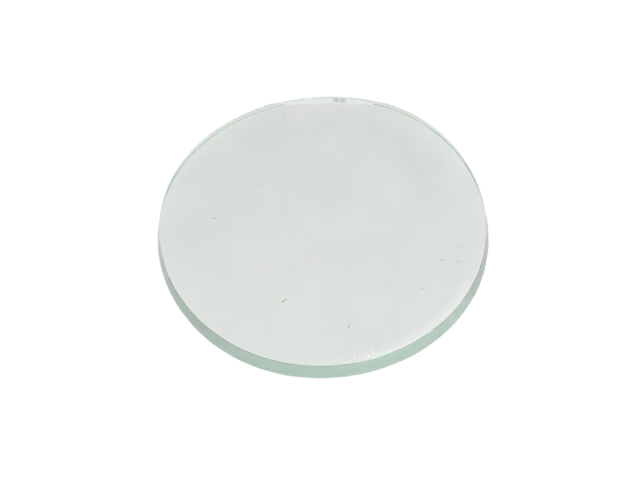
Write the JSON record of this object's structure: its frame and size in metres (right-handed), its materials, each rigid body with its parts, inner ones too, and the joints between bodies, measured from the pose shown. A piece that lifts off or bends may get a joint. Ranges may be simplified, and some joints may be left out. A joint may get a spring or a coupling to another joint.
{
  "type": "watch glass",
  "caption": "Shallow round glass dish with a thick pale green ground edge, for covering a beaker or holding a small sample.",
  "frame": {"origin": "centre of the small flat at the lowest point of the domed face, on which the dish rests", "axes": "+Z along the dish's axis, out of its hollow side; X and Y are any two directions across the rim"},
  "size_m": [0.05, 0.0499, 0.0049],
  "materials": {
    "soda_lime_glass": "clear pale green soda-lime sheet, both faces bright and smooth, edge and both corners ground satin"
  },
  "bodies": {
    "root": {"glass_dish": "soda_lime_glass"}
  },
  "joints": []
}
